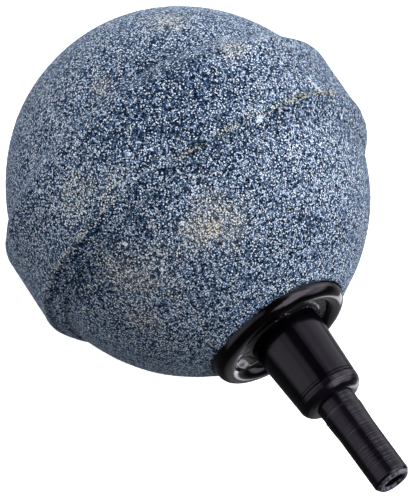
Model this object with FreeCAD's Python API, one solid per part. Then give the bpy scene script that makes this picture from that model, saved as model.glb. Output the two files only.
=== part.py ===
import FreeCAD, Part
import math
import os

# Air stone: a ball of bonded mineral grit on a black hose fitting. Millimetres, +Z up.
# The ball lies on its belt. +X runs along the fitting's axis and out of the hose nipple.
# The origin is the middle of the underside of the whole object's box.

# --- Ball. Lengths along its own axis are measured from its middle. ---
BELT_RADIUS = 25.0  # the cylindrical belt, which is also the largest radius
BELT_FLAT_HALF = 4.6  # half the width of the belt's flat
BELT_CORNER_RADIUS = 2.1  # the belt's rounded edges
BELT_END = 7.2  # from the middle to the notch between belt and cap
NOTCH_STEP = 0.45  # how far the belt's shoulder stands above the cap at the notch
CAP_RADIUS = 23.95  # the caps' half width across the axis
CAP_POLE = 25.3  # the caps' reach along the axis
BALL_TURN = -2.2  # degrees about Z: the belt isn't quite square to the bore
BALL_SHIFT = 0.75  # the ball's middle stands this far to +Y of the fitting's axis

# --- Fitting. Places along +X are measured from the ball's middle. ---
CHAMBER_RADIUS = 4.0  # blind air chamber in the ball
CHAMBER_START = -4.0
TAIL_END = 14.0  # the sleeve's inner end, on the ledge between chamber and socket
TAIL_RADIUS = 4.6
SOCKET_RADIUS = 5.2
RIB_RADIUS = 4.9  # ribs on the tail, for the glue to grip
RIB_WIDTH = 1.0
RIB_RAMP = 0.4  # the sloped part of a rib's width, on its inner side
RIB_COUNT = 3
RIB_PITCH = 2.2
FIRST_RIB = 15.2

POCKET_FLOOR = 22.2  # flat seat for the cup, sunk into the ball
FILM = 0.3  # glue film under the cup
CUP_SHIFT = -0.5  # the cup's centre stands this far to -Y of the fitting's axis
CUP_RADIUS = 9.8
CUP_HOLE_RADIUS = 5.75
CUP_FLOOR = 0.8
BEAD_RADIUS = 1.4  # the rolled rim's half-round section
BEAD_CREST = 25.15
CUP_FOOT = POCKET_FLOOR + FILM
WELL_FLOOR = CUP_FOOT + CUP_FLOOR
WELL_RADIUS = CUP_RADIUS - 2 * BEAD_RADIUS
BEAD_PLACE = BEAD_CREST - BEAD_RADIUS  # centre of the rim's section
BEAD_RING = CUP_RADIUS - BEAD_RADIUS  # radius of the circle that this centre runs round

STEM_ROOT = CUP_FOOT  # where the sleeve's taper starts
STEM_ROOT_RADIUS = 5.13
STEM_END = 34.15
STEM_END_RADIUS = 4.48
RING_PLACE = 33.75  # a fine witness line turned round the sleeve
RING_DEPTH = 0.1
RING_HALF_WIDTH = 0.06
JOINT_CHAMFER = 0.1  # the small bevels that make the joint line

SPIGOT_START = 24.0  # the nipple's spigot inside the sleeve
SPIGOT_RADIUS = 2.6
SLEEVE_BORE_RADIUS = 2.0  # air bore of the tail, below the spigot
AIRWAY_RADIUS = 1.4  # air bore of the nipple
SHOULDER_RADIUS = 1.65  # the collar's rounded shoulder
SHOULDER_END = 36.15
ROOT_RADIUS = 2.72  # the nipple next to the collar
NECK_PLACE = 37.6
NECK_RADIUS = 2.64
STEP_PLACE = 38.0  # a small step up that stops the hose
STEP_RADIUS = 2.71
GRIP_START = 41.0  # the straight length that the hose grips
GRIP_RADIUS = 2.55
GRIP_END = 48.9
TIP = 49.55
TIP_RADIUS = 2.1
MOUTH_CHAMFER = 0.25  # bevel inside the airway's mouth

# --- Glue in the cup's well ---
GLUE_AT_STEM = 24.55
GLUE_LOW = 24.0
GLUE_LOW_RADIUS = 6.1
GLUE_AT_WALL = 24.15

# --- Place of the ball's middle in the object's frame ---
MIDDLE_X = (CAP_POLE - TIP) / 2
MIDDLE_Z = BELT_RADIUS
FITTING_Y = -BALL_SHIFT

X_AXIS = FreeCAD.Vector(1, 0, 0)
Z_AXIS = FreeCAD.Vector(0, 0, 1)
CENTRE = FreeCAD.Vector(0, 0, 0)


def point(along, radius):
    """A point of a section: along the axis, then out from it."""
    return FreeCAD.Vector(along, 0, radius)


def line(start, end):
    return Part.LineSegment(point(*start), point(*end)).toShape()


def arc(start, middle, end):
    return Part.Arc(point(*start), point(*middle), point(*end)).toShape()


def turned(edges):
    """The solid that a closed section sweeps round the X axis."""
    face = Part.Face(Part.Wire(edges))
    return face.revolve(CENTRE, X_AXIS, 360)


def outline(points):
    """Straight edges that join the points and come back to the first."""
    return [line(a, b) for a, b in zip(points, points[1:] + points[:1])]


def rod(radius, start, end):
    return Part.makeCylinder(radius, end - start, point(start, 0), X_AXIS)


def cap_radius_at(along):
    return CAP_RADIUS * math.sqrt(1 - (along / CAP_POLE) ** 2)


def cap_edge(start_angle, end_angle):
    """A stretch of the caps' ellipse, in degrees from the +X pole."""
    long_way = Part.Ellipse(point(CAP_POLE, 0), point(0, CAP_RADIUS), CENTRE)
    return Part.ArcOfEllipse(long_way, math.radians(start_angle), math.radians(end_angle)).toShape()


def belt_corner(side):
    """The rounded edge of the belt and its shoulder down to the cap, for side +1 or -1."""
    notch_radius = cap_radius_at(BELT_END)
    top = (side * BELT_FLAT_HALF, BELT_RADIUS)
    foot = (side * BELT_END, notch_radius + NOTCH_STEP)
    base = (side * BELT_END, notch_radius)
    # The corner's arc leaves the flat as a tangent, and a straight shoulder runs on to its foot.
    run = BELT_END - BELT_FLAT_HALF
    drop = BELT_RADIUS - foot[1]
    # The tangent from the foot to the corner's circle, whose centre is under the flat's end.
    reach = math.hypot(run, drop - BELT_CORNER_RADIUS)
    to_foot = math.atan2(BELT_CORNER_RADIUS - drop, run)
    touch_angle = to_foot + math.acos(BELT_CORNER_RADIUS / reach)
    centre_radius = BELT_RADIUS - BELT_CORNER_RADIUS

    def on_corner(angle):
        along = BELT_FLAT_HALF + BELT_CORNER_RADIUS * math.cos(angle)
        return (side * along, centre_radius + BELT_CORNER_RADIUS * math.sin(angle))

    half_way = (touch_angle + math.pi / 2) / 2
    touch = on_corner(touch_angle)
    return [arc(top, on_corner(half_way), touch), line(touch, foot), line(foot, base)]


def ball_body():
    notch_angle = math.degrees(math.acos(BELT_END / CAP_POLE))
    edges = [cap_edge(0, notch_angle)]
    edges += belt_corner(1)
    edges.append(line((BELT_FLAT_HALF, BELT_RADIUS), (-BELT_FLAT_HALF, BELT_RADIUS)))
    edges += belt_corner(-1)
    edges.append(cap_edge(180 - notch_angle, 180))
    edges.append(line((-CAP_POLE, 0), (CAP_POLE, 0)))
    body = turned(Part.__sortEdges__(edges))
    body.rotate(CENTRE, Z_AXIS, BALL_TURN)
    body.translate(FreeCAD.Vector(0, BALL_SHIFT, 0))
    return body


def cup_place(shape):
    """Moves a shape made on the fitting's axis to the cup's own centre."""
    shape.translate(FreeCAD.Vector(0, CUP_SHIFT, 0))
    return shape


def socket_space():
    return rod(SOCKET_RADIUS, TAIL_END, POCKET_FLOOR)


def porous_ball():
    pocket = cup_place(rod(CUP_RADIUS, POCKET_FLOOR, TIP))
    chamber = rod(CHAMBER_RADIUS, CHAMBER_START, TAIL_END)
    chamber_end = Part.makeSphere(CHAMBER_RADIUS, point(CHAMBER_START, 0))
    return ball_body().cut(pocket).cut(socket_space()).cut(chamber).cut(chamber_end)


def base_cup():
    edges = [
        line((CUP_FOOT, CUP_HOLE_RADIUS), (CUP_FOOT, CUP_RADIUS)),
        line((CUP_FOOT, CUP_RADIUS), (BEAD_PLACE, CUP_RADIUS)),
        arc((BEAD_PLACE, CUP_RADIUS), (BEAD_CREST, BEAD_RING), (BEAD_PLACE, WELL_RADIUS)),
        line((BEAD_PLACE, WELL_RADIUS), (WELL_FLOOR, WELL_RADIUS)),
        line((WELL_FLOOR, WELL_RADIUS), (WELL_FLOOR, CUP_HOLE_RADIUS)),
        line((WELL_FLOOR, CUP_HOLE_RADIUS), (CUP_FOOT, CUP_HOLE_RADIUS)),
    ]
    return cup_place(turned(edges))


def sleeve_outside():
    """The sleeve with no bores: tail with glue ribs, tapered barrel and witness line."""
    slope = (STEM_ROOT_RADIUS - STEM_END_RADIUS) / (STEM_END - STEM_ROOT)

    def on_taper(along):
        return (along, STEM_END_RADIUS + slope * (STEM_END - along))

    points = [(TAIL_END, 0), (TAIL_END, TAIL_RADIUS)]
    for n in range(RIB_COUNT):
        start = FIRST_RIB + n * RIB_PITCH
        points.append((start, TAIL_RADIUS))
        points.append((start + RIB_RAMP, RIB_RADIUS))
        points.append((start + RIB_WIDTH, RIB_RADIUS))
        points.append((start + RIB_WIDTH, TAIL_RADIUS))
    points.append((STEM_ROOT, TAIL_RADIUS))
    points.append((STEM_ROOT, STEM_ROOT_RADIUS))
    points.append(on_taper(RING_PLACE - RING_HALF_WIDTH))
    points.append((RING_PLACE, on_taper(RING_PLACE)[1] - RING_DEPTH))
    points.append(on_taper(RING_PLACE + RING_HALF_WIDTH))
    points.append(on_taper(STEM_END - JOINT_CHAMFER))
    points.append((STEM_END, STEM_END_RADIUS - JOINT_CHAMFER))
    points.append((STEM_END, 0))
    return turned(outline(points))


def stem_sleeve():
    spigot_bore = rod(SPIGOT_RADIUS, SPIGOT_START, STEM_END)
    air_bore = rod(SLEEVE_BORE_RADIUS, TAIL_END, SPIGOT_START)
    return sleeve_outside().cut(spigot_bore).cut(air_bore)


def airline_nipple():
    collar_edge = SHOULDER_END - SHOULDER_RADIUS
    shoulder_inner = STEM_END_RADIUS - SHOULDER_RADIUS
    diagonal = SHOULDER_RADIUS * math.sqrt(0.5)
    shoulder_middle = (collar_edge + diagonal, shoulder_inner + diagonal)
    edges = [
        line((SPIGOT_START, AIRWAY_RADIUS), (SPIGOT_START, SPIGOT_RADIUS)),
        line((SPIGOT_START, SPIGOT_RADIUS), (STEM_END, SPIGOT_RADIUS)),
        line((STEM_END, SPIGOT_RADIUS), (STEM_END, STEM_END_RADIUS - JOINT_CHAMFER)),
        line(
            (STEM_END, STEM_END_RADIUS - JOINT_CHAMFER),
            (STEM_END + JOINT_CHAMFER, STEM_END_RADIUS),
        ),
        line((STEM_END + JOINT_CHAMFER, STEM_END_RADIUS), (collar_edge, STEM_END_RADIUS)),
        arc((collar_edge, STEM_END_RADIUS), shoulder_middle, (SHOULDER_END, shoulder_inner)),
        line((SHOULDER_END, shoulder_inner), (SHOULDER_END, ROOT_RADIUS)),
        line((SHOULDER_END, ROOT_RADIUS), (NECK_PLACE, NECK_RADIUS)),
        line((NECK_PLACE, NECK_RADIUS), (STEP_PLACE, STEP_RADIUS)),
        line((STEP_PLACE, STEP_RADIUS), (GRIP_START, GRIP_RADIUS)),
        line((GRIP_START, GRIP_RADIUS), (GRIP_END, GRIP_RADIUS)),
        line((GRIP_END, GRIP_RADIUS), (TIP, TIP_RADIUS)),
        line((TIP, TIP_RADIUS), (TIP, AIRWAY_RADIUS + MOUTH_CHAMFER)),
        line((TIP, AIRWAY_RADIUS + MOUTH_CHAMFER), (TIP - MOUTH_CHAMFER, AIRWAY_RADIUS)),
        line((TIP - MOUTH_CHAMFER, AIRWAY_RADIUS), (SPIGOT_START, AIRWAY_RADIUS)),
    ]
    return turned(edges)


def on_rim(along):
    """The inner curve of the cup's rim."""
    inward = math.sqrt(BEAD_RADIUS**2 - (along - BEAD_PLACE) ** 2)
    return (along, BEAD_RING - inward)


def well_glue():
    """Glue in the cup's well, up to a dished top, and in the gap between the cup's hole and the stem."""
    rim_edge = on_rim(GLUE_AT_WALL)
    edges = [
        line((CUP_FOOT, 0), (CUP_FOOT, CUP_HOLE_RADIUS)),
        line((CUP_FOOT, CUP_HOLE_RADIUS), (WELL_FLOOR, CUP_HOLE_RADIUS)),
        line((WELL_FLOOR, CUP_HOLE_RADIUS), (WELL_FLOOR, WELL_RADIUS)),
        line((WELL_FLOOR, WELL_RADIUS), (BEAD_PLACE, WELL_RADIUS)),
        arc((BEAD_PLACE, WELL_RADIUS), on_rim((BEAD_PLACE + GLUE_AT_WALL) / 2), rim_edge),
        arc(rim_edge, (GLUE_LOW, GLUE_LOW_RADIUS), (GLUE_AT_STEM, STEM_END_RADIUS)),
        line((GLUE_AT_STEM, STEM_END_RADIUS), (GLUE_AT_STEM, 0)),
        line((GLUE_AT_STEM, 0), (CUP_FOOT, 0)),
    ]
    return cup_place(turned(edges)).cut(sleeve_outside())


def seat_glue():
    """The film between the pocket's floor and the cup's foot."""
    film = cup_place(rod(CUP_RADIUS, POCKET_FLOOR, CUP_FOOT))
    return film.cut(sleeve_outside())


def socket_glue():
    return socket_space().cut(sleeve_outside())


def main():
    os.makedirs("parts", exist_ok=True)
    pieces = {
        "porous_ball": porous_ball(),
        "base_cup": base_cup(),
        "stem_sleeve": stem_sleeve(),
        "airline_nipple": airline_nipple(),
        "well_glue": well_glue(),
        "seat_glue": seat_glue(),
        "socket_glue": socket_glue(),
    }
    for name, shape in pieces.items():
        shape.translate(FreeCAD.Vector(MIDDLE_X, FITTING_Y, MIDDLE_Z))
        shape.exportStep(os.path.join("parts", name + ".step"))
        print(name, len(shape.Solids), "solid", shape.isValid(), round(shape.Volume, 1), "mm3")


main()
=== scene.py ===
import itertools
import math

import bmesh
import bpy
import numpy as np
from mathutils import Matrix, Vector


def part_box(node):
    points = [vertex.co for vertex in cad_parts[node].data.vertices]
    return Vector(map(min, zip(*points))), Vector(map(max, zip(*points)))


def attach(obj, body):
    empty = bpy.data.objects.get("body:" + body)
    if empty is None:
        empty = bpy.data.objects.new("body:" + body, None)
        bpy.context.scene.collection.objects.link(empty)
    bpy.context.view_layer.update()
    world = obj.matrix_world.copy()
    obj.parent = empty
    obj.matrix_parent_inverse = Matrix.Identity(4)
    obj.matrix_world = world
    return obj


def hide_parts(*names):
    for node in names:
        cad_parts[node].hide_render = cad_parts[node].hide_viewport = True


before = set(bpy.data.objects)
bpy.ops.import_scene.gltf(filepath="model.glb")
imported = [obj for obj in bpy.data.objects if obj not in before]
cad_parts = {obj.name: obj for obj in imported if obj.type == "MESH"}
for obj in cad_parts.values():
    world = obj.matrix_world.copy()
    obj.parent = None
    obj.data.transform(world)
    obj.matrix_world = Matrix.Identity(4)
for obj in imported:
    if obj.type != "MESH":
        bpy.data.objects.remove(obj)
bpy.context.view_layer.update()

# The looks of the ball air stone. Lengths are in millimetres up to the point where a mesh or the
# camera is made, which scales them by MM.
MM = 0.001

# --- Driving sizes of the ball, measured from its middle along and out from its own axis ---
BELT_FLAT_HALF = 4.6
BELT_CORNER_RADIUS = 2.1
BELT_END = 7.2
NOTCH_STEP = 0.45
CAP_RADIUS = 23.95
CAP_POLE = 25.3
BALL_TURN = math.radians(-2.2)
SKIN = 0.10  # the grit's mean surface lies this far inside the CAD surface
CLEARANCE = 0.01  # and its highest grains this far
WORN_MIDDLE = -12.0  # degrees round the axis where the belt's other edge is worn soft
WORN_ANGLES = (25, 50)  # degrees from there where the wear starts to fade, and where it ends
WORN_WIDTH = 1.1  # how softly the edge is worn, in millimetres
FACES_PER_SIDE = 240  # across one of the six sides that the ball's mesh is made of
RING_COUNT = 60  # rings of faces between the pocket and the edge of the side it is in
FLAT_POINTS = 4  # points of the ball's section on half the flat, on a corner and on a cap
CORNER_POINTS = 12
CAP_POINTS = 400
SECTION_STEPS = 2000  # even steps of the section while it is smoothed

# --- Hollow behind the fitting: places along +X from the ball's middle ---
POCKET_FLOOR = 22.2
SOCKET_RADIUS = 5.2
TAIL_END = 14.0
CHAMBER_RADIUS = 4.0
CHAMBER_START = -4.0
END_RINGS = 8  # rings of points on the chamber's round end

# --- Fitting ---
CUP_FOOT = 22.5
WELL_FLOOR = 23.3
CUP_HOLE_RADIUS = 5.75
BEAD_RADIUS = 1.4
BEAD_CREST = 25.15
STEM_ROOT_RADIUS = 5.13
STEM_SLOPE = 0.056  # how much the stem's radius shrinks per millimetre

# --- Camera, as a long lens high over the nozzle's side of the object ---
CAMERA_AZIMUTH = math.radians(56.67)  # from -Y towards +X
CAMERA_ELEVATION = math.radians(63.98)
CAMERA_DISTANCE = 525.0
AIM_RIGHT = 2.5  # the picture's middle lies to the right of the ball's middle and below it
AIM_DOWN = 7.67
LENS = 285.5
SENSOR = 36.0
NEAREST = 0.01  # what the camera sees, in metres
FARTHEST = 50.0


def box_mm(node):
    """The lowest and the highest corner of a CAD node's box, in millimetres."""
    low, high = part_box(node)
    return np.array(low) / MM, np.array(high) / MM


ball_low, ball_high = box_mm("porous_ball")
cup_low, cup_high = box_mm("base_cup")
nipple_low, nipple_high = box_mm("airline_nipple")
BELT_RADIUS = (ball_high[2] - ball_low[2]) / 2
BALL = np.array([ball_low[0] + CAP_POLE, (ball_low[1] + ball_high[1]) / 2, BELT_RADIUS])
CUP_RADIUS = (cup_high[1] - cup_low[1]) / 2
CUP_Y = (cup_high[1] + cup_low[1]) / 2
FITTING_Y = (nipple_high[1] + nipple_low[1]) / 2
AXIS_Z = BELT_RADIUS

# The ball's own axes: along its axis, across it, and up.
ALONG = np.array([math.cos(BALL_TURN), math.sin(BALL_TURN), 0.0])
ACROSS = np.array([-math.sin(BALL_TURN), math.cos(BALL_TURN), 0.0])
UP = np.array([0.0, 0.0, 1.0])


# ---------------------------------------------------------------- seeded random fields

LATTICE = 64


def hills(points, size, seed):
    """Smooth random values from -1 to 1, with a hill or a hollow about every size millimetres."""
    values = np.random.default_rng(seed).uniform(-1, 1, (LATTICE,) * 3)
    place = points / size
    cell = np.floor(place).astype(int)
    t = place - cell
    t = t * t * (3 - 2 * t)
    total = np.zeros(len(points))
    for corner in itertools.product((0, 1), repeat=3):
        weight = np.prod(np.where(corner, t, 1 - t), axis=1)
        total += weight * values[tuple(((cell + corner) % LATTICE).T)]
    return total


def grains(points, size, seed):
    """Distance to the nearest grain's centre, in grain sizes, and that grain's own value from 0 to 1."""
    source = np.random.default_rng(seed)
    centres = source.random((LATTICE, LATTICE, LATTICE, 3))
    values = source.random((LATTICE,) * 3)
    place = points / size
    cell = np.floor(place).astype(int)
    nearest = np.full(len(points), np.inf)
    own = np.zeros(len(points))
    for step in itertools.product((-1, 0, 1), repeat=3):
        index = tuple(((cell + step) % LATTICE).T)
        distance = np.linalg.norm(cell + step + centres[index] - place, axis=1)
        closer = distance < nearest
        nearest[closer] = distance[closer]
        own[closer] = values[index][closer]
    return nearest, own


def fade(distance, inner, outer):
    """1 inside inner, 0 outside outer, and smooth between them."""
    t = np.clip((outer - distance) / (outer - inner), 0, 1)
    return t * t * (3 - 2 * t)


# ---------------------------------------------------------------- mesh helpers


def mesh_object(name, points, faces):
    """A smooth-shaded mesh object from points in millimetres and faces with equal numbers of sides."""
    mesh = bpy.data.meshes.new(name)
    sides = faces.shape[1]
    mesh.vertices.add(len(points))
    mesh.vertices.foreach_set("co", (points * MM).astype(np.float32).ravel())
    mesh.loops.add(faces.size)
    mesh.loops.foreach_set("vertex_index", faces.astype(np.int32).ravel())
    mesh.polygons.add(len(faces))
    mesh.polygons.foreach_set("loop_start", np.arange(0, faces.size, sides, dtype=np.int32))
    mesh.polygons.foreach_set("use_smooth", np.ones(len(faces), dtype=bool))
    mesh.update(calc_edges=True)
    thing = bpy.data.objects.new(name, mesh)
    bpy.context.scene.collection.objects.link(thing)
    return thing


def grid_faces(rows, columns, wrap=False):
    """Quads between neighbouring rows of a grid of points, and round its end if it wraps."""
    row, column = np.meshgrid(
        np.arange(rows - 1), np.arange(columns if wrap else columns - 1), indexing="ij"
    )
    beside = (column + 1) % columns
    corners = [
        row * columns + column,
        row * columns + beside,
        (row + 1) * columns + beside,
        (row + 1) * columns + column,
    ]
    return np.stack(corners, axis=-1).reshape(-1, 4)


def add_attribute(thing, name, values):
    """Stores a number for each of the mesh's points, which its material reads by name."""
    attribute = thing.data.attributes.new(name, "FLOAT", "POINT")
    attribute.data.foreach_set("value", values.astype(np.float32))


def close_end(thing):
    """Fills the one loop of open edges and turns every face outwards."""
    work = bmesh.new()
    work.from_mesh(thing.data)
    bmesh.ops.edgeloop_fill(work, edges=[edge for edge in work.edges if edge.is_boundary])
    bmesh.ops.recalc_face_normals(work, faces=work.faces)
    work.to_mesh(thing.data)
    work.free()


# ---------------------------------------------------------------- the ball's shape


def cap_radius_at(along):
    """How far out the cap's surface is at a place along the ball's axis."""
    return CAP_RADIUS * math.sqrt(1 - (along / CAP_POLE) ** 2)


def profile():
    """The ball's section from the belt's middle to the pole, as places along and out from the axis."""
    flat = [(along, BELT_RADIUS) for along in np.linspace(0, BELT_FLAT_HALF, FLAT_POINTS)]
    foot = cap_radius_at(BELT_END) + NOTCH_STEP
    # The corner's arc leaves the flat as a tangent and a straight shoulder runs on to the notch.
    centre = (BELT_FLAT_HALF, BELT_RADIUS - BELT_CORNER_RADIUS)
    run = BELT_END - centre[0]
    rise = foot - centre[1]
    turn = math.atan2(rise, run) + math.acos(BELT_CORNER_RADIUS / math.hypot(run, rise))
    corner = [
        (centre[0] + BELT_CORNER_RADIUS * math.cos(t), centre[1] + BELT_CORNER_RADIUS * math.sin(t))
        for t in np.linspace(math.pi / 2, turn, CORNER_POINTS)
    ]
    notch = [(BELT_END, foot), (BELT_END, cap_radius_at(BELT_END))]
    start = math.acos(BELT_END / CAP_POLE)
    cap = [
        (CAP_POLE * math.cos(t), CAP_RADIUS * math.sin(t))
        for t in np.linspace(start, 0, CAP_POINTS)[1:]
    ]
    return np.array(flat + corner + notch + cap)


def angle_round(own):
    """Degrees round the ball's axis, from the top towards +Y."""
    return np.degrees(np.arctan2(own[:, 1], own[:, 2]))


def worn(own):
    """1 beside the stretch where the belt's other edge is worn soft, and 0 where it is sharp."""
    return fade(np.abs(angle_round(own) - WORN_MIDDLE), *WORN_ANGLES)


def reach(directions):
    """How far the ball's surface is from its middle in each direction, on its own axes."""
    section = profile()
    lean = np.arctan2(section[:, 0], section[:, 1])
    far = np.hypot(section[:, 0], section[:, 1])
    wanted = np.arctan2(np.abs(directions[:, 0]), np.linalg.norm(directions[:, 1:], axis=1))
    sharp = np.interp(wanted, lean, far)
    # The belt's other edge is worn soft along the side that shows, between two sharp stretches.
    even = np.linspace(lean[0], lean[-1], SECTION_STEPS)
    step = (even[1] - even[0]) * BELT_RADIUS
    half = int(3 * WORN_WIDTH / step)
    kernel = np.exp(-0.5 * (np.arange(-half, half + 1) * step / WORN_WIDTH) ** 2)
    padded = np.pad(np.interp(even, lean, far), half, mode="edge")
    soft = np.interp(wanted, even, np.convolve(padded, kernel / kernel.sum(), mode="valid"))
    return sharp + (soft - sharp) * worn(directions) * (directions[:, 0] < 0)


def to_part(own):
    """Points on the ball's own axes, moved to the part's frame."""
    return BALL + own[:, :1] * ALONG + own[:, 1:2] * ACROSS + own[:, 2:] * UP


def to_own(points):
    """Points in the part's frame, moved to the ball's own axes."""
    offset = points - BALL
    return np.stack([offset @ ALONG, offset @ ACROSS, offset @ UP], axis=1)


def side_steps():
    """Places from -1 to 1 across a cube's side, evenly spaced as seen from the cube's middle."""
    return np.tan(np.linspace(-1, 1, FACES_PER_SIDE + 1) * math.pi / 4)


def square_side(normal, first, second):
    """Directions over one side of a cube round the ball."""
    u, v = np.meshgrid(side_steps(), side_steps(), indexing="ij")
    return normal + u.reshape(-1, 1) * first + v.reshape(-1, 1) * second


def square_rim():
    """The points round the edge of a cube's side, in order, from -1 to 1 both ways."""
    steps = side_steps()[:-1]
    ones = np.ones(FACES_PER_SIDE)
    edges = [(steps, -ones), (ones, steps), (-steps, ones), (-ones, -steps)]
    return np.concatenate([np.stack(edge, axis=1) for edge in edges])


def pocket_circle(angle):
    """Where the cup's wall meets the ball, on the ball's own axes."""
    x = BALL[0] + CAP_POLE * math.sqrt(1 - (CUP_RADIUS / CAP_RADIUS) ** 2)
    y = CUP_Y + CUP_RADIUS * np.cos(angle)
    z = AXIS_Z + CUP_RADIUS * np.sin(angle)
    return to_own(np.stack([np.full(len(angle), x), y, z], axis=1))


def hollow_rings(angle):
    """Rings down the pocket, the socket and the chamber to its closed end, in the part's frame."""
    rings = [
        (POCKET_FLOOR, CUP_RADIUS, CUP_Y),
        (POCKET_FLOOR, SOCKET_RADIUS, FITTING_Y),
        (TAIL_END, SOCKET_RADIUS, FITTING_Y),
        (TAIL_END, CHAMBER_RADIUS, FITTING_Y),
    ]
    for t in np.linspace(0, math.pi / 2, END_RINGS + 1)[:-1]:
        along = CHAMBER_START - CHAMBER_RADIUS * math.sin(t)
        rings.append((along, CHAMBER_RADIUS * math.cos(t), FITTING_Y))
    points = []
    for along, radius, y in rings:
        x = np.full(len(angle), BALL[0] + along)
        circle = (x, y + radius * np.cos(angle), AXIS_Z + radius * np.sin(angle))
        points.append(np.stack(circle, axis=1))
    return points


MAP_GAP = 0.004  # round each square of the map, whose whole width is 1


def ball_grid():
    """The skin's points on the ball's own axes, the hollow's points in the part's frame, the quads
    between them all, and each point's place on the map."""
    x, y, z = np.eye(3)
    sides = [(-x, y, z), (y, x, z), (-y, z, x), (z, y, x), (-z, x, y)]
    quads = grid_faces(FACES_PER_SIDE + 1, FACES_PER_SIDE + 1)
    steps = np.linspace(0, 1, FACES_PER_SIDE + 1)
    flat = np.stack(np.meshgrid(steps, steps, indexing="ij"), axis=-1).reshape(-1, 2)
    directions, faces, places = [], [], []
    count = 0
    for number, (normal, first, second) in enumerate(sides):
        directions.append(square_side(normal, first, second))
        faces.append(quads + count)
        places.append(map_square(flat, number))
        count += len(flat)
    # The side with the pocket: rings from the square's edge to the pocket's circle.
    rim = square_rim()
    angle = np.arctan2(rim[:, 1], rim[:, 0])
    circle = pocket_circle(angle)
    circle = circle[:, 1:] / circle[:, :1]
    for t in np.linspace(0, 1, RING_COUNT + 1):
        spot = rim + (circle - rim) * t
        directions.append(np.column_stack([np.ones(len(spot)), spot]))
        places.append(map_square(0.5 + np.arctan(spot) * 2 / math.pi, len(sides)))
    directions = np.concatenate(directions)
    directions /= np.linalg.norm(directions, axis=1, keepdims=True)
    skin = directions * reach(directions)[:, None]
    inner = hollow_rings(angle)
    for number in range(len(inner)):
        share = 1 - (number + 1) / (len(inner) + 1)
        places.append(map_square(0.5 + np.arctan(circle * share) * 2 / math.pi, len(sides)))
    faces.append(grid_faces(RING_COUNT + 1 + len(inner), len(rim), wrap=True) + count)
    return skin, np.concatenate(inner), np.concatenate(faces), np.concatenate(places)


def map_square(places, number):
    """Places from 0 to 1 in both ways, put into the numbered one of six squares on the map."""
    columns, rows = 3, 2
    size = np.array([1 / columns, 1 / rows]) - 2 * MAP_GAP
    corner = np.array([number % columns / columns, number // columns / rows]) + MAP_GAP
    return corner + places * size


WELD_DECIMALS = 5  # points that agree this far, in millimetres, lie on each other


def welded(points, faces):
    """Points that lie on each other made one, the faces renumbered, and which points were kept."""
    rounded = np.round(points, WELD_DECIMALS)
    _, first, where = np.unique(rounded, axis=0, return_index=True, return_inverse=True)
    return points[first], where.reshape(-1)[faces], first


# ---------------------------------------------------------------- marks on the ball

# Places are (millimetres along the ball's axis, degrees round it from the top towards +Y), then
# the radius of the patch, pit or crystal in millimetres, and a pit's depth.
TAN_PATCHES = [(14.4, -13, 4.2), (13.2, -47, 5.2), (16.5, -62, 2.4), (-14.5, 17, 3.2)]
TAN_PATCHES += [(-9.6, -19, 1.6), (-5.0, 23, 2.0), (-16, 150, 4.0), (11, 130, 3.5), (-6, -140, 3.0)]
PALE_PATCHES = [(1.0, -45, 4.3), (3.0, -31, 3.0), (4.3, -36, 2.2), (14.6, -14, 2.8)]
PALE_PATCHES += [(-12, 95, 6.0), (6, 175, 6.0), (-15, -110, 5.0)]
# The first four dark patches, just past the flash on the nozzle's side, are painted shade below the
# belt's step; the other two are the grit's own darker tone.
SHADE_AND_DARK_PATCHES = [(8.0, -31, 3.0), (8.4, -46, 3.6), (8.0, -60, 3.6), (7.6, -71, 3.6)]
SHADE_AND_DARK_PATCHES += [(0, 120, 5.0), (-12, -160, 5.0)]
WIDE_PALE = [(13, 46, 10.0), (-14, 170, 12.0)]  # broad and faint
WIDE_DARK = [(-3, -5, 15.0), (4, 150, 12.0)]
PITS = [(5.6, -3.4, 0.60, 0.45), (6.3, -5.5, 0.35, 0.30), (-3.8, -31, 0.42, 0.38)]
PITS += [(5.9, 1.5, 0.35, 0.25), (-8.4, -20, 0.40, 0.30), (5.1, 21, 0.40, 0.22)]
CRYSTALS = [(5.8, 17.5, 0.7), (9.6, -42.5, 0.4), (12.0, -22.0, 0.35), (-3.3, -54.0, 0.4)]
CRYSTAL_CORNERS = 0.3  # how far a crystal's outline goes in and out, and over what length
CRYSTAL_CORNER_SIZE = 0.6
SCAR = ((1.2, 43.2), (4.7, 46.0))  # a moulding scar that crosses half of the belt
SCRATCHES = [((19.0, 43.5), (19.6, 56.0)), ((19.9, 47.0), (20.4, 60.0))]
SCAR_WIDTH = 0.35
SCRATCH_WIDTH = 0.28
LINE_WAVER = 0.25  # how far a scar or scratch wavers, and over what length
LINE_WAVER_SIZE = 1.1
LINE_ENDS = (0.35, 0.5)  # it fades between these shares of its length, either way from its middle

# Small marks at random places. A radius or a depth is the least there is, and how much more at most.
RANDOM_PITS = 90
RANDOM_PIT_RADIUS = (0.25, 0.25)
RANDOM_PIT_DEPTH = (0.1, 0.2)
RANDOM_CRYSTALS = 90
RANDOM_CRYSTAL_RADIUS = (0.25, 0.2)
NEARBY = 1.0  # no random mark reaches further than this from its middle

# How large the tongues round a patch's edge are, in millimetres, and how far they reach into it.
TONGUES = [(3.5, 0.40), (1.6, 0.40), (0.7, 0.35)]
PATCH_EDGE = (0.1, 1.4)  # the shares of its radius between which a patch fades out
BROAD_EDGE = (0.2, 1.0)

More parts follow.
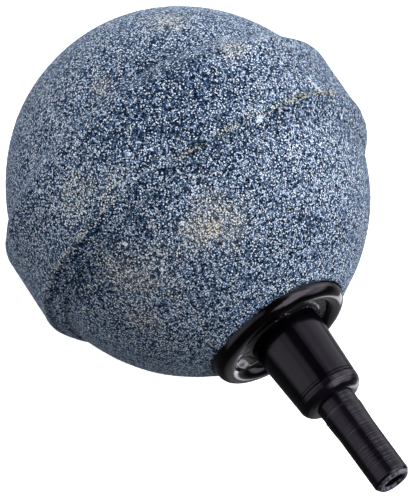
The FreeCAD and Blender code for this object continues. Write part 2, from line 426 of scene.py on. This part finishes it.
# The flash beside the cup: degrees round the axis from the top towards +Y, millimetres along the
# axis, how strong it is there, and how much it is stained.
FLASH = [
    (-180, 5.0, 0.5, 0.6), (-120, 5.0, 0.8, 0.6), (-95, 5.0, 2.0, 0.4), (-75, 4.8, 1.2, 0.3),
    (-57, 5.4, 1.2, 0.4), (-37, 5.1, 1.1, 0.2), (-21, 5.1, 0.6, 0.4), (-8, 5.8, 0.5, 0.7),
    (5, 5.9, 0.6, 0.8), (11, 5.6, 0.4, 1.0), (25, 5.3, 0.7, 1.0), (40, 4.5, 0.9, 0.8),
    (67, 3.8, 0.7, 0.9), (110, 4.8, 0.5, 0.7), (180, 5.0, 0.5, 0.6),
]
FLASH_WAVER = 0.14  # how far the flash wavers along the axis, and over what length
FLASH_WAVER_SIZE = 1.2
FLASH_BREAKS = 2.6  # how long its stronger and weaker stretches are
FLASH_STAINS = 2.4  # and its stains
FAR_FLASH = 0.3  # how much flash the belt's other edge has, where the mould closed better
FAR_FLASH_PLACE = 5.05
FAR_FLASH_WAVER = 0.3
FAR_FLASH_WAVER_SIZE = 5.0
CREST_EDGE = (0.10, 0.48)  # how far from the flash's middle its crest starts and ends to fade
STAIN_EDGE = (0.15, 0.75)  # and its stain
HOLLOW_EDGE = (0.1, 0.75)  # and how far from its own middle the hollow beside it does, which is also painted dark as shade
HOLLOW_PLACE = 0.80  # the hollow's middle, from the flash's middle towards the pole

# Grit that was squeezed up round the cup, most of all on one side: its height, and the side's
# middle and width in degrees from +Y towards up.
COLLAR_EVEN = 0.25
COLLAR_EXTRA = 0.70
COLLAR_MIDDLE = 135.0
COLLAR_WIDTH = 38.0
COLLAR_REACH = 3.2
CUP_SHADOW = (0.05, 0.5)  # how far from the cup's wall the dark line round it fades out

# The bare grit, in millimetres: the height and length of its swells, then the size and the
# height of its fine and its coarse grains.
SWELLS = [(0.055, 7.0), (0.020, 2.4)]
FINE_SIZE = 0.34
FINE_HEIGHT = 0.08
COARSE_SIZE = 0.8
COARSE_HEIGHT = 0.02

# How high the grit itself stands or how deep it sinks at each kind of mark, in millimetres.
CREST_HEIGHT = 0.26
HOLLOW_DEPTH = 0.15
SCAR_HEIGHT = 0.09
SCRATCH_DEPTH = 0.08
CRYSTAL_HEIGHT = 0.05

# How strongly each kind of mark shows in the grit's colour.
PATCH_TINT = 0.9
# Painted shade: how much darker the grit is painted in the hollow beside the flash.
HOLLOW_SHADE_TINT = 1.1
# Painted shade: how much darker the grit is painted in the pits.
PIT_SHADE_TINT = 2.5
CUP_SHADOW_TINT = 2.0
SCAR_CRYSTAL_TINT = 0.6
WIDE_PALE_TINT = 0.35
WIDE_DARK_TINT = 0.75


def on_ball(along, around):
    """The point of the ball's surface at a place, on the ball's own axes."""
    turn = math.radians(around)
    out = cap_radius_at(along)
    guess = np.array([[along, out * math.sin(turn), out * math.cos(turn)]])
    direction = guess / np.linalg.norm(guess)
    return (direction * reach(direction)[:, None])[0]


def patches(own, places, seed):
    """How strongly each point lies in one of the patches, whose edges are ragged and mottled."""
    ragged = sum(share * hills(own, size, seed + n) for n, (size, share) in enumerate(TONGUES))
    strength = np.zeros(len(own))
    for along, around, radius in places:
        distance = np.linalg.norm(own - on_ball(along, around), axis=1) / radius
        strength = np.maximum(strength, fade(distance + ragged, *PATCH_EDGE))
    return strength


def broad(own, places):
    """How strongly each point lies in one of the broad, even patches."""
    strength = np.zeros(len(own))
    for along, around, radius in places:
        distance = np.linalg.norm(own - on_ball(along, around), axis=1) / radius
        strength = np.maximum(strength, fade(distance, *BROAD_EDGE))
    return strength


def along_line(own, start, end, width, seed):
    """How strongly each point lies on a wavering line between two places."""
    first, last = on_ball(*start), on_ball(*end)
    step = last - first
    t = np.clip((own - first) @ step / (step @ step), 0, 1)
    distance = np.linalg.norm(own - first - t[:, None] * step, axis=1)
    waver = LINE_WAVER * hills(own, LINE_WAVER_SIZE, seed)
    beside = fade(np.abs(distance + waver), width * 0.3, width)
    return beside * fade(np.abs(t - 0.5), *LINE_ENDS)


def random_places(count, seed):
    """Random points of the ball's surface, and two random numbers from 0 to 1 for each."""
    source = np.random.default_rng(seed)
    directions = source.normal(size=(count, 3))
    directions /= np.linalg.norm(directions, axis=1, keepdims=True)
    return directions * reach(directions)[:, None], source.random((count, 2))


def dents(own):
    """Depth of the small pits, in millimetres."""
    depth = np.zeros(len(own))
    for along, around, radius, deep in PITS:
        distance = np.linalg.norm(own - on_ball(along, around), axis=1)
        depth = np.maximum(depth, deep * fade(distance, 0.2 * radius, radius))
    spots, sizes = random_places(RANDOM_PITS, seed=31)
    for spot, (wide, deep) in zip(spots, sizes):
        near = np.abs(own - spot).max(axis=1) < NEARBY
        distance = np.linalg.norm(own[near] - spot, axis=1)
        radius = RANDOM_PIT_RADIUS[0] + RANDOM_PIT_RADIUS[1] * wide
        deepest = RANDOM_PIT_DEPTH[0] + RANDOM_PIT_DEPTH[1] * deep
        depth[near] = np.maximum(depth[near], deepest * fade(distance, 0.1, radius))
    return depth


def crystals(own):
    """How strongly each point lies in one of the large pale crystals among the grit."""
    strength = np.zeros(len(own))
    spots, sizes = random_places(RANDOM_CRYSTALS, seed=47)
    for spot, (wide, _) in zip(spots, sizes):
        near = np.abs(own - spot).max(axis=1) < NEARBY
        distance = np.linalg.norm(own[near] - spot, axis=1)
        radius = RANDOM_CRYSTAL_RADIUS[0] + RANDOM_CRYSTAL_RADIUS[1] * wide
        strength[near] = np.maximum(strength[near], fade(distance, 0.1, radius))
    for along, around, radius in CRYSTALS:
        distance = np.linalg.norm(own - on_ball(along, around), axis=1)
        distance = distance + CRYSTAL_CORNERS * hills(own, CRYSTAL_CORNER_SIZE, seed=48)
        strength = np.maximum(strength, 1.1 * fade(distance, 0.4 * radius, radius))
    return strength


def flash_line(own):
    """The thin uneven flash along both edges of the belt, its stain, and the hollow beside it, which is
    also painted shade.
    """
    turns, places, strengths, stains = zip(*FLASH)
    around = angle_round(own)
    near = own[:, 0] > 0
    far_place = FAR_FLASH_PLACE + FAR_FLASH_WAVER * hills(own, FAR_FLASH_WAVER_SIZE, seed=3)
    place = np.where(near, np.interp(around, turns, places), far_place)
    place += FLASH_WAVER * hills(own, FLASH_WAVER_SIZE, seed=4)
    strong = np.interp(around, turns, strengths)
    strong = strong * np.clip(0.8 + 0.7 * hills(own, FLASH_BREAKS, seed=5), 0.15, 1)
    blotches = np.clip(0.6 + 0.8 * hills(own, FLASH_STAINS, seed=6), 0, 1)
    past = np.abs(own[:, 0]) - place
    crest = fade(np.abs(past), *CREST_EDGE) * strong
    stain = fade(np.abs(past), *STAIN_EDGE) * blotches
    stain *= np.interp(around, turns, stains)
    hollow = fade(np.abs(past - HOLLOW_PLACE), *HOLLOW_EDGE) * strong
    share = np.where(near, 1.0, FAR_FLASH * (1 - worn(own)))
    return crest * share, stain * share, hollow * share


def collar(points):
    """Height of the grit squeezed up round the cup, and how close each point is to the cup's wall."""
    y = points[:, 1] - CUP_Y
    z = points[:, 2] - AXIS_Z
    beyond = np.hypot(y, z) - CUP_RADIUS
    turn = (np.degrees(np.arctan2(z, y)) - COLLAR_MIDDLE + 180) % 360 - 180
    height = COLLAR_EVEN + COLLAR_EXTRA * np.exp(-((turn / COLLAR_WIDTH) ** 2))
    front = points[:, 0] > BALL[0]
    return height * fade(beyond, 0.0, COLLAR_REACH) * front, fade(beyond, *CUP_SHADOW) * front


def bare_height(own):
    """Height of the unmarked grit over the CAD surface, in millimetres: swells, and single grains."""
    fine, fine_own = grains(own, FINE_SIZE, seed=21)
    coarse, coarse_own = grains(own, COARSE_SIZE, seed=22)
    swell = sum(high * hills(own, size, seed=1 + n) for n, (high, size) in enumerate(SWELLS))
    grain = FINE_HEIGHT * (0.5 - fine) * (0.4 + fine_own)
    grain += COARSE_HEIGHT * (0.5 - coarse) * coarse_own
    return swell - SKIN + grain


def porous_ball():
    """The grit ball with its hollow. Its material reads the marks from attributes of its points."""
    skin, inner, faces, places = ball_grid()
    crest, stain, hollow = flash_line(skin)
    scar = along_line(skin, *SCAR, SCAR_WIDTH, seed=11)
    scratch = np.maximum(*[along_line(skin, *ends, SCRATCH_WIDTH, seed=13) for ends in SCRATCHES])
    pit = dents(skin)
    crystal = np.maximum(crystals(skin), SCAR_CRYSTAL_TINT * scar)
    height = bare_height(skin)
    height += (
        CREST_HEIGHT * crest - HOLLOW_DEPTH * hollow + SCAR_HEIGHT * scar
        - SCRATCH_DEPTH * scratch - pit + CRYSTAL_HEIGHT * crystal
    )
    length = np.linalg.norm(skin, axis=1, keepdims=True)
    skin = skin * (1 + np.minimum(height, -CLEARANCE)[:, None] / length)
    outer = to_part(skin)
    raised, by_cup = collar(outer)
    outer[:, 0] += raised
    points, faces_welded, first = welded(np.concatenate([outer, inner]), faces)
    ball = mesh_object("grit_ball", points, faces_welded)

    pale = PATCH_TINT * patches(skin, PALE_PATCHES, seed=65)
    dark = PATCH_TINT * patches(skin, SHADE_AND_DARK_PATCHES, seed=69)
    wide = WIDE_PALE_TINT * broad(skin, WIDE_PALE) - WIDE_DARK_TINT * broad(skin, WIDE_DARK)
    # The dark mark gathers painted shade in the hollow beside the flash, in the pits, beside the belt's
    # step and round the cup's wall, together with the darker patches of grit and the scratches.
    darkest = [dark, HOLLOW_SHADE_TINT * hollow, PIT_SHADE_TINT * pit, scratch, CUP_SHADOW_TINT * by_cup]
    marks = {
        "tan": patches(skin, TAN_PATCHES, seed=61),
        # The flash's crest is painted pale as a highlight, along with the grit's own pale patches and
        # the scar.
        "pale": np.maximum.reduce([pale, crest, scar]) + wide,
        "dark": np.maximum.reduce(darkest),
        "stain": np.maximum(stain, scratch),
        "crystal": crystal,
    }
    for name, values in marks.items():
        padded = np.concatenate([values, np.zeros(len(inner))])
        add_attribute(ball, name, padded[first])
    uv = ball.data.uv_layers.new(name="OFBake")
    uv.data.foreach_set("uv", places[faces.ravel()].astype(np.float32).ravel())
    close_end(ball)
    return ball


# ---------------------------------------------------------------- the glue in the cup's well

GLUE_TURNS = 420
GLUE_STEPS = 34  # from the cup's bead to the stem
GLUE_EDGE = 24.2  # where the glue's top meets the bead, along from the ball's middle
GLUE_SAG = 0.30  # how deep the top sags half way to the stem
GLUE_CLIMB_START = 0.72  # the share of the way from which it climbs up the stem again
GLUE_CLIMB = 0.30  # and how steeply, in millimetres for the whole way
GLUE_CEILING = 24.5  # the stem's width where the glue meets it is taken here
LUMPS = [(0.16, 1.8), (0.05, 0.8)]  # how high the glue's lumps are, and how large
LUMP_SPREAD = 0.7  # less than 1 spreads them from the middle towards both edges


def stem_radius_at(along):
    """How wide the tapered stem is at a place along from the ball's middle."""
    return STEM_ROOT_RADIUS - STEM_SLOPE * (along - CUP_FOOT)


def well_glue():
    """Glue that ran round the stem's foot and set uneven: a closed ring with a lumpy top."""
    angle = np.linspace(0, 2 * math.pi, GLUE_TURNS, endpoint=False)
    bead_place = BEAD_CREST - BEAD_RADIUS
    bead_ring = CUP_RADIUS - BEAD_RADIUS
    edge_radius = bead_ring - math.sqrt(BEAD_RADIUS**2 - (GLUE_EDGE - bead_place) ** 2)
    stem_radius = stem_radius_at(GLUE_CEILING)
    # Each row is a place along, a radius, how far on from the cup to the stem it is, which moves its
    # middle from the one's to the other's, and how freely it can be lumpy.
    rows = []
    for n in range(GLUE_STEPS + 1):
        t = n / GLUE_STEPS
        radius = edge_radius + (stem_radius - edge_radius) * t
        sag = GLUE_SAG * math.sin(math.pi * t) - GLUE_CLIMB * max(0, t - GLUE_CLIMB_START)
        rows.append((GLUE_EDGE - sag, radius, t, math.sin(math.pi * t) ** LUMP_SPREAD))
    below = [
        (WELL_FLOOR, stem_radius_at(WELL_FLOOR), 1.0),
        (CUP_FOOT, STEM_ROOT_RADIUS, 1.0),
        (CUP_FOOT, CUP_HOLE_RADIUS, 0.0),
        (WELL_FLOOR, CUP_HOLE_RADIUS, 0.0),
        (WELL_FLOOR, CUP_RADIUS - 2 * BEAD_RADIUS, 0.0),
        (bead_place, CUP_RADIUS - 2 * BEAD_RADIUS, 0.0),
    ]
    rows += [(along, radius, t, 0.0) for along, radius, t in below]
    points = []
    for along, radius, t, free in rows:
        centre = CUP_Y + (FITTING_Y - CUP_Y) * t
        y = centre + radius * np.cos(angle)
        z = AXIS_Z + radius * np.sin(angle)
        ring = np.stack([np.full(GLUE_TURNS, BALL[0] + along), y, z], axis=1)
        lumps = sum(high * hills(ring, size, seed=81 + n) for n, (high, size) in enumerate(LUMPS))
        ring[:, 0] += free * lumps
        points.append(ring)
    faces = grid_faces(len(rows) + 1, GLUE_TURNS, wrap=True) % (len(rows) * GLUE_TURNS)
    return mesh_object("set_glue", np.concatenate(points), faces)


# ---------------------------------------------------------------- materials


class Nodes:
    """Makes nodes in a tree and links them."""

    def __init__(self, tree):
        self.tree = tree

    def node(self, kind, inputs=None, **settings):
        """A new node. An input is a value, or the output that is linked to it."""
        new = self.tree.nodes.new("ShaderNode" + kind)
        for key, value in settings.items():
            setattr(new, key, value)
        for key, value in (inputs or {}).items():
            self.feed(new.inputs[key], value)
        return new

    def feed(self, socket, value):
        """Links the value to the socket if it is an output, and sets the socket to it if not."""
        if isinstance(value, bpy.types.NodeSocket):
            self.tree.links.new(value, socket)
        else:
            socket.default_value = value

    def math(self, operation, first, second=0.0, clamp=False):
        """The result of a sum, which is kept from 0 to 1 if it is clamped."""
        node = self.node("Math", {0: first, 1: second}, operation=operation, use_clamp=clamp)
        return node.outputs[0]


class Look(Nodes):
    """A new material: its tree, its shader, and places on the object in millimetres."""

    def __init__(self, name, **uniform):
        self.material = bpy.data.materials.new(name)
        self.material.use_nodes = True
        super().__init__(self.material.node_tree)
        self.shader = self.tree.nodes["Principled BSDF"]
        for socket, value in uniform.items():
            self.shader.inputs[socket.replace("_", " ")].default_value = value
        places = self.node("TexCoord").outputs["Object"]
        self.place = self.node("VectorMath", {0: places, "Scale": 1 / MM}, operation="SCALE").outputs[0]

    def noise(self, size, detail=2.0, place=None):
        """Smooth noise from 0 to 1 whose hills are about size millimetres across."""
        inputs = {"Vector": place or self.place, "Scale": 1 / size, "Detail": detail}
        return self.node("TexNoise", inputs).outputs["Fac"]

    def cells(self, size, place=None, **settings):
        """A pattern of cells that are about size millimetres across."""
        inputs = {"Vector": place or self.place, "Scale": 1 / size}
        return self.node("TexVoronoi", inputs, **settings)

    def attribute(self, name):
        """A mark's strength, stored with the mesh's points."""
        return self.node("Attribute", attribute_name=name).outputs["Fac"]

    def part(self, colour, channel):
        """The red, green or blue of a colour, for channel 0, 1 or 2."""
        return self.node("SeparateColor", {0: colour}).outputs[channel]

    def ramp(self, value, stops):
        """A colour or a grey for each value: stops are (place, colour)."""
        node = self.node("ValToRGB", {0: value})
        band = node.color_ramp
        while len(band.elements) < len(stops):
            band.elements.new(0.5)
        for element, (place, colour) in zip(band.elements, stops):
            element.position = place
            element.color = (*colour, 1) if isinstance(colour, tuple) else (colour, colour, colour, 1)
        return node.outputs["Color"]

    def mix(self, share, first, second, blend="MIX"):
        """The first colour with a share of the second blended into it."""
        node = self.node("Mix", data_type="RGBA", blend_type=blend, clamp_factor=True)
        # A mix node has sockets for numbers and for vectors before the ones for colours.
        for index, value in ((0, share), (6, first), (7, second)):
            if isinstance(value, tuple):
                value = (*value, 1)
            self.feed(node.inputs[index], value)
        return node.outputs[2]

    def bump(self, height, depth, strength=1.0, under=None):
        """A bump of that depth in millimetres."""
        inputs = {"Height": height, "Distance": depth * MM, "Strength": strength}
        if under is not None:
            inputs["Normal"] = under
        return self.node("Bump", inputs).outputs["Normal"]

    def shade(self, colour, roughness, normal):
        """The finished material."""
        for socket, value in (("Base Color", colour), ("Roughness", roughness), ("Normal", normal)):
            self.feed(self.shader.inputs[socket], value)
        return self.material


GRAIN = 0.195  # about how large a grain of the pattern is, in millimetres
BREAK_SIZE = 0.16  # how finely the pattern is pushed about, in millimetres
BREAK_PUSH = 0.16  # and from one side to the other how far
EVENNESS = 0.45  # how much of its neighbour's value a grain has taken from it
CLOUD = 0.06  # how much the grit's value goes up and down in soft clouds
# The pale mark also holds a painted highlight on the flash's crest, and the dark mark holds painted
# shade in hollows, in pits and round the cup.
MARK_VALUES = {"pale": 0.13, "tan": 0.09, "dark": -0.13, "crystal": 0.8}  # what a full mark adds
GRAIN_CONTRAST = 1.65
GRAIN_MIDDLE = 0.568  # the value that keeps its place when the contrast is raised
GRIT_COLOURS = [  # from the darkest grains to the lightest
    (0.07, (0.0006, 0.0048, 0.0175)),
    (0.29, (0.0078, 0.0260, 0.0710)),
    (0.53, (0.052, 0.104, 0.200)),
    (0.76, (0.183, 0.294, 0.472)),
    (0.88, (0.50, 0.643, 0.835)),
    (0.96, (0.83, 0.915, 0.985)),
]
GRAIN_TINTS = [(0.03, (1.0, 0.95, 0.86)), (0.10, (1.0, 0.99, 0.97))]  # a few warm, and some cool
GRAIN_TINTS += [(0.7, (1.0, 1.0, 1.0)), (0.9, (0.88, 0.96, 1.0))]
CHALK = (1.0, 0.95, 0.86)
CREAM = (1.0, 0.89, 0.77)
CREAM_GLOW = (0.040, 0.038, 0.034)
OLIVE = (0.80, 0.66, 0.42)


def broken_places(look):
    """Places pushed about by less than a grain's size, so that the grains are broken, not round."""
    noise = look.node("TexNoise", {"Vector": look.place, "Scale": 1 / BREAK_SIZE, "Detail": 0.0})
    inputs = {0: noise.outputs["Color"], 1: (0.5, 0.5, 0.5)}
    push = look.node("VectorMath", inputs, operation="SUBTRACT").outputs[0]
    push = look.node("VectorMath", {0: push, "Scale": BREAK_PUSH}, operation="SCALE").outputs[0]
    return look.node("VectorMath", {0: look.place, 1: push}, operation="ADD").outputs[0]


def grain_value(look, own, beside):
    """How light each grain is: its own value and its neighbour's, soft clouds, and the marks."""
    # A grain is lighter beside a dark one and darker beside a light one, so the stone is even from afar.
    taken = look.math("MULTIPLY", look.math("SUBTRACT", beside, 0.5), EVENNESS)
    value = look.math("SUBTRACT", own, taken)
    cloud = look.math("SUBTRACT", look.noise(5.0), 0.5)
    value = look.math("ADD", value, look.math("MULTIPLY", cloud, CLOUD))
    for mark, much in MARK_VALUES.items():
        value = look.math("ADD", value, look.math("MULTIPLY", look.attribute(mark), much))
    value = look.math("MULTIPLY", value, GRAIN_CONTRAST)
    return look.math("ADD", value, 0.5 - GRAIN_MIDDLE * GRAIN_CONTRAST)


def grit():
    """Bonded mineral grit of dark, blue and white grains, with the ball's marks and painted shade and
    highlight in its colour.
    """
    look = Look(
        "bonded_grit", Sheen_Weight=0.34, Sheen_Roughness=0.25, Sheen_Tint=(0.60, 0.80, 1.0, 1),
        Specular_IOR_Level=0.08,
    )
    broken = broken_places(look)
    grain = look.cells(GRAIN, broken).outputs
    own = look.part(grain["Color"], 0)
    beside = look.part(look.cells(GRAIN, broken, feature="F2").outputs["Color"], 0)
    colour = look.ramp(grain_value(look, own, beside), GRIT_COLOURS)
    tint = look.ramp(look.part(grain["Color"], 2), GRAIN_TINTS)
    colour = look.mix(1.0, colour, tint, "MULTIPLY")
    chalk = look.mix(1.0, colour, CHALK, "MULTIPLY")
    # The pale mark turns the grit chalky: its own pale patches and scar, and the painted highlight on
    # the flash's crest.
    chalky = look.ramp(look.attribute("pale"), [(0.30, 0.0), (0.75, 1.0)])
    colour = look.mix(chalky, colour, chalk)
    cream = look.mix(1.0, colour, CREAM, "MULTIPLY")
    cream = look.mix(1.0, cream, CREAM_GLOW, "ADD")
    colour = look.mix(look.attribute("tan"), colour, cream)
    olive = look.mix(1.0, colour, OLIVE, "MULTIPLY")
    colour = look.mix(look.attribute("stain"), colour, olive)
    # Painted shade in the gaps between the grains, darker towards each grain's edge.
    gap_shade = look.ramp(grain["Distance"], [(0.40, 1.0), (0.72, 0.40)])
    colour = look.mix(1.0, colour, gap_shade, "MULTIPLY")
    height = look.math("SUBTRACT", 1.0, grain["Distance"])
    height = look.math("MULTIPLY", height, look.math("ADD", own, 0.5))
    roughness = look.ramp(own, [(0.80, 0.82), (0.93, 0.38)])
    return look.shade(colour, roughness, look.bump(height, 0.10, 0.7))


CUT_END = 0.35  # the nipple's sawn end reaches this far back from its tip
SAWN_ROUGHNESS = 0.35  # how much rougher it is than the rest
SAWN_END_HIGHLIGHT = (0.130, 0.122, 0.145)  # the lighter lavender grey painted on its sawn end as a highlight
BURR = 0.25  # how deep its bumps look, in millimetres


def moulded(name, tint, gloss, ripple_depth):
    """Black moulded plastic: fine rings from the turned mould, faint handling marks, a sawn tip with a
    painted highlight.
    """
    look = Look(name, IOR=1.5, Specular_IOR_Level=0.25, Specular_Tint=(0.97, 0.87, 1.0, 1))
    haze = look.noise(3.0, 4.0)
    colour = look.mix(haze, tuple(0.55 * channel for channel in tint), tint)
    roughness = look.ramp(haze, [(0.3, gloss), (0.75, 1.7 * gloss)])
    x = look.node("SeparateXYZ", {0: look.place}).outputs[0]
    sawn = look.math("GREATER_THAN", x, float(nipple_high[0]) - CUT_END)
    roughness = look.math("ADD", roughness, look.math("MULTIPLY", sawn, SAWN_ROUGHNESS), clamp=True)
    # Painted highlight: the sawn end is coloured lighter in torn-looking patches.
    sawn_end_highlight = look.ramp(look.noise(0.5, 3.0), [(0.42, 0.1), (0.60, 1.0)])
    colour = look.mix(look.math("MULTIPLY", sawn_end_highlight, sawn), colour, SAWN_END_HIGHLIGHT)
    rings = look.node("CombineXYZ", {0: x}).outputs[0]
    normal = look.bump(look.noise(0.32, place=rings), ripple_depth)
    normal = look.bump(look.noise(0.22), 0.006, 0.5, normal)
    burr = look.math("MULTIPLY", look.noise(0.45, 3.0), sawn)
    normal = look.bump(burr, BURR, under=normal)
    return look.shade(colour, roughness, normal)


def glue(name, gloss):
    """Dark set glue, hazy in places, with a few pale specks of grit in it."""
    look = Look(name, IOR=1.5, Specular_IOR_Level=0.22)
    haze = look.noise(1.2, 3.0)
    speck = look.part(look.cells(0.3).outputs["Color"], 0)
    speck = look.ramp(speck, [(0.9, 0.0), (0.97, 1.0)])
    colour = look.mix(haze, (0.002, 0.002, 0.003), (0.010, 0.009, 0.010))
    colour = look.mix(look.math("MULTIPLY", speck, 0.3), colour, (0.35, 0.36, 0.38))
    roughness = look.ramp(haze, [(0.3, gloss), (0.8, gloss + 0.2)])
    return look.shade(colour, roughness, look.bump(look.noise(0.9, 1.5), 0.03, 0.6))


def floor_paper():
    """Pale paper with a faint grain, which glows so that it stays white in the shade."""
    white = (1, 1, 1, 1)
    look = Look("floor_paper", Specular_IOR_Level=0.2, Emission_Color=white, Emission_Strength=0.7)
    grain = look.noise(0.6, 3.0)
    colour = look.mix(grain, (0.83, 0.83, 0.83), (0.86, 0.86, 0.855))
    roughness = look.ramp(grain, [(0.3, 0.8), (0.7, 0.9)])
    return look.shade(colour, roughness, look.bump(grain, 0.02, 0.4))


def dress(thing, material):
    """Puts the material in every slot of the object, and makes one if it has none."""
    if not thing.material_slots:
        thing.data.materials.append(None)
    for slot in thing.material_slots:
        slot.link = "OBJECT"
        slot.material = material


# ---------------------------------------------------------------- the object

ball = porous_ball()
dress(ball, grit())
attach(ball, "root")
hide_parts("porous_ball")

pool = well_glue()
dress(pool, glue("well_adhesive", 0.12))
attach(pool, "root")
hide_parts("well_glue")

seat = glue("seat_adhesive", 0.18)
dress(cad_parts["base_cup"], moulded("cup_plastic", (0.0010, 0.0005, 0.0006), 0.05, 0.003))
dress(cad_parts["stem_sleeve"], moulded("stem_plastic", (0.0010, 0.0006, 0.0018), 0.12, 0.003))
dress(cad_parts["airline_nipple"], moulded("nipple_plastic", (0.0030, 0.0025, 0.0045), 0.14, 0.120))
dress(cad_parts["seat_glue"], seat)
dress(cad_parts["socket_glue"], seat)


# ---------------------------------------------------------------- floor, light and camera

FLOOR_RINGS = (1, 200, 1500, 9000)  # their radii
FLOOR_TURNS = 96


def floor(paper):
    """A round pale floor, wide enough to reach the horizon in a low view."""
    angle = np.linspace(0, 2 * math.pi, FLOOR_TURNS, endpoint=False)
    circle = np.stack([np.cos(angle), np.sin(angle), 0 * angle], axis=1)
    rings = grid_faces(len(FLOOR_RINGS), FLOOR_TURNS, wrap=True)
    disc = mesh_object("floor", np.concatenate([radius * circle for radius in FLOOR_RINGS]), rings)
    middle_face = np.arange(FLOOR_TURNS).reshape(1, -1)
    middle = mesh_object("floor_middle", FLOOR_RINGS[0] * circle, middle_face)
    for thing in (disc, middle):
        dress(thing, paper)
        thing.visible_diffuse = False
        thing.visible_glossy = False


floor(floor_paper())

LIGHT_COLOUR = (0.945, 0.96, 1.03, 1)
LEVEL_BETWEEN = 0.07  # how bright the dark between the panels is
PANELS = [  # azimuth, elevation, half width, half height, soft edge, level
    (50, 45, 29, 20, 9, 5.4),
    (72, 10, 27, 18, 8, 2.5),
    (112, 20, 28, 42, 8, 1.15),
    (-170, 8, 38, 36, 12, 1.7),
    (-118, 25, 32, 29, 12, 1.3),
    (-98, 65, 14, 8, 4, 0.9),
    (62, -58, 17, 5, 2, 3.0),
    (50, -62, 50, 22, 12, 0.35),
]


class Surroundings(Nodes):
    """The studio round the object: soft-edged bright panels in the dark, as the world's light."""

    def __init__(self):
        world = bpy.data.worlds.new("studio")
        bpy.context.scene.world = world
        world.use_nodes = True
        super().__init__(world.node_tree)
        self.way = self.node("TexCoord").outputs["Generated"]
        self.total = LEVEL_BETWEEN

    def turned(self, direction):
        """How far the way looked in is turned towards a direction, from -1 to 1."""
        node = self.node("VectorMath", {0: self.way, 1: direction}, operation="DOT_PRODUCT")
        return node.outputs["Value"]

    def window(self, value, half, soft):
        """1 where the value is near 0, and down to 0 over a soft edge at half on either side."""
        off = self.math("ABSOLUTE", value)
        inputs = {"Value": off, "From Min": half + soft, "From Max": half - soft}
        return self.node("MapRange", inputs, interpolation_type="SMOOTHSTEP").outputs[0]

    def panel(self, azimuth, elevation, half_width, half_height, soft, level):
        """Adds a panel centred on that direction. The angles are in degrees, azimuth from +X to +Y."""
        turn, rise = math.radians(azimuth), math.radians(elevation)
        centre = (math.cos(turn) * math.cos(rise), math.sin(turn) * math.cos(rise), math.sin(rise))
        side = (-math.sin(turn), math.cos(turn), 0)
        top = (-math.cos(turn) * math.sin(rise), -math.sin(turn) * math.sin(rise), math.cos(rise))
        across = self.math("ARCTAN2", self.turned(side), self.turned(centre))
        height = self.math("ARCSINE", self.turned(top))
        soft = math.radians(soft)
        wide = self.window(across, math.radians(half_width), soft)
        high = self.window(height, math.radians(half_height), soft)
        shine = self.math("MULTIPLY", self.math("MULTIPLY", wide, high), level)
        self.total = self.math("ADD", self.total, shine)

    def light(self):
        """Lights the scene with all the panels added so far."""
        background = self.tree.nodes["Background"]
        background.inputs["Color"].default_value = LIGHT_COLOUR
        self.feed(background.inputs["Strength"], self.total)


studio = Surroundings()
for panel in PANELS:
    studio.panel(*panel)
studio.light()

back = Vector((
    math.sin(CAMERA_AZIMUTH) * math.cos(CAMERA_ELEVATION),
    -math.cos(CAMERA_AZIMUTH) * math.cos(CAMERA_ELEVATION),
    math.sin(CAMERA_ELEVATION),
))
right = Vector((math.cos(CAMERA_AZIMUTH), math.sin(CAMERA_AZIMUTH), 0))
aim = Vector(BALL) + right * AIM_RIGHT - back.cross(right) * AIM_DOWN
lens = bpy.data.cameras.new("camera")
lens.lens = LENS
lens.sensor_width = SENSOR
lens.clip_start = NEAREST
lens.clip_end = FARTHEST
camera = bpy.data.objects.new("camera", lens)
camera.location = (aim + back * CAMERA_DISTANCE) * MM
camera.rotation_euler = back.to_track_quat("Z", "Y").to_euler()
bpy.context.scene.collection.objects.link(camera)
bpy.context.scene.camera = camera
bpy.context.scene.view_settings.view_transform = "Standard"
